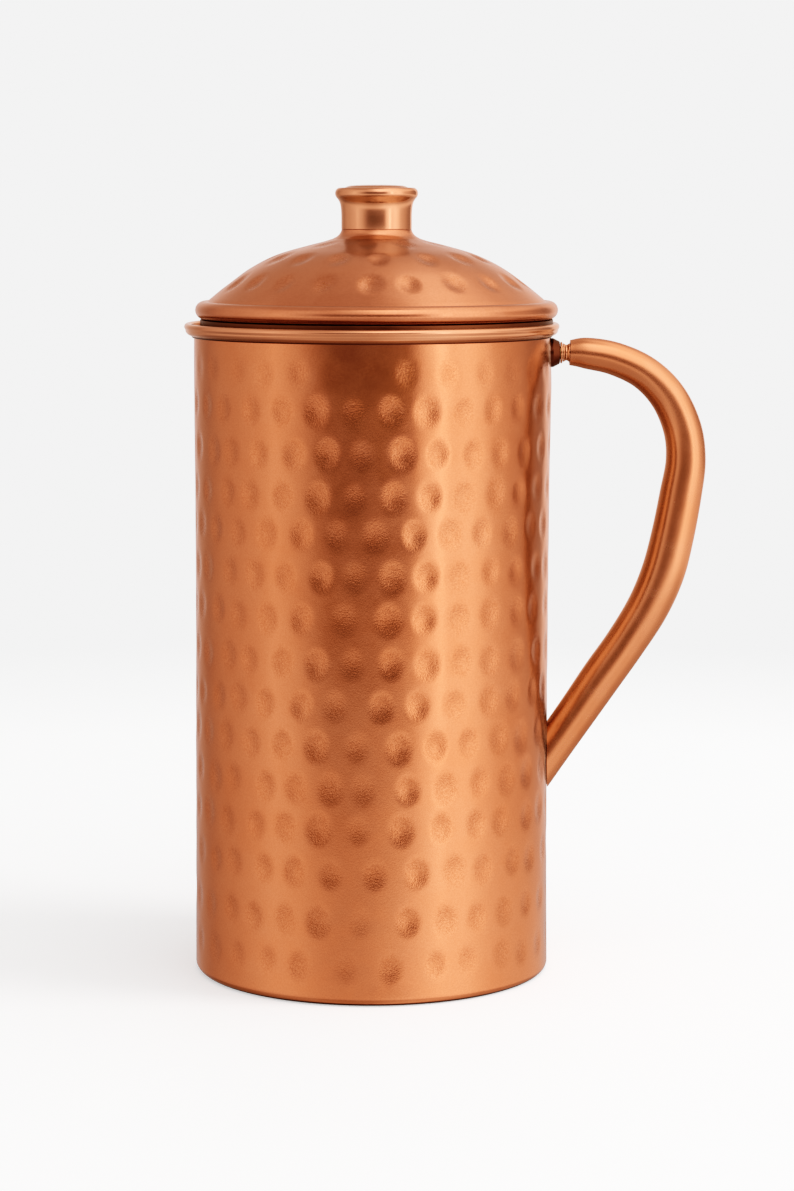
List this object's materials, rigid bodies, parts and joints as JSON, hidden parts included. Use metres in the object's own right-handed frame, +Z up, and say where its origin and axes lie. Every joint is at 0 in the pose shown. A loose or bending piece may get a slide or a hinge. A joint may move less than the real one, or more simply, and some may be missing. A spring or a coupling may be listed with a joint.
{
  "type": "copper water jug",
  "caption": "Hammered copper water jug with a flat base, flared mouth band, hollow curved side handle and a loose domed lid that lifts off by its turned knob.",
  "frame": {"origin": "centre of the base, on the axis of the wall, on the surface that the jug stands on", "axes": "+Z up along the axis of the wall, +X towards the handle, +Y across the handle's plane"},
  "size_m": [0.1652, 0.1184, 0.2503],
  "materials": {
    "hammered_copper": "satin copper, hammered with round dimples",
    "lid_copper": "satin copper, softly hammered",
    "smooth_copper": "semi-polished copper",
    "handle_copper": "brushed semi-polished copper tube",
    "dark_copper": "unpolished darkened copper",
    "screw_brass": "plain turned brass"
  },
  "bodies": {
    "jug": {"body_wall": "hammered_copper", "base_disc": "hammered_copper", "mouth_band": "smooth_copper", "handle_tube": "handle_copper", "handle_pad": "dark_copper", "handle_washer": "smooth_copper", "handle_collar": "dark_copper", "handle_screw": "screw_brass", "handle_screw_washer": "screw_brass", "foot_plug": "dark_copper", "foot_screw": "screw_brass", "foot_screw_washer": "screw_brass"},
    "lid": {"lid_dome": "lid_copper", "lid_edge_wire": "dark_copper", "lid_skirt": "lid_copper", "knob_body": "smooth_copper", "knob_cap": "smooth_copper", "knob_screw": "screw_brass", "knob_washer": "screw_brass"}
  },
  "joints": [
    {"name": "lid_lift", "type": "slide", "parent": "jug", "child": "lid", "axis": [0, 0, 1], "range_m": [0, 0.08]}
  ]
}
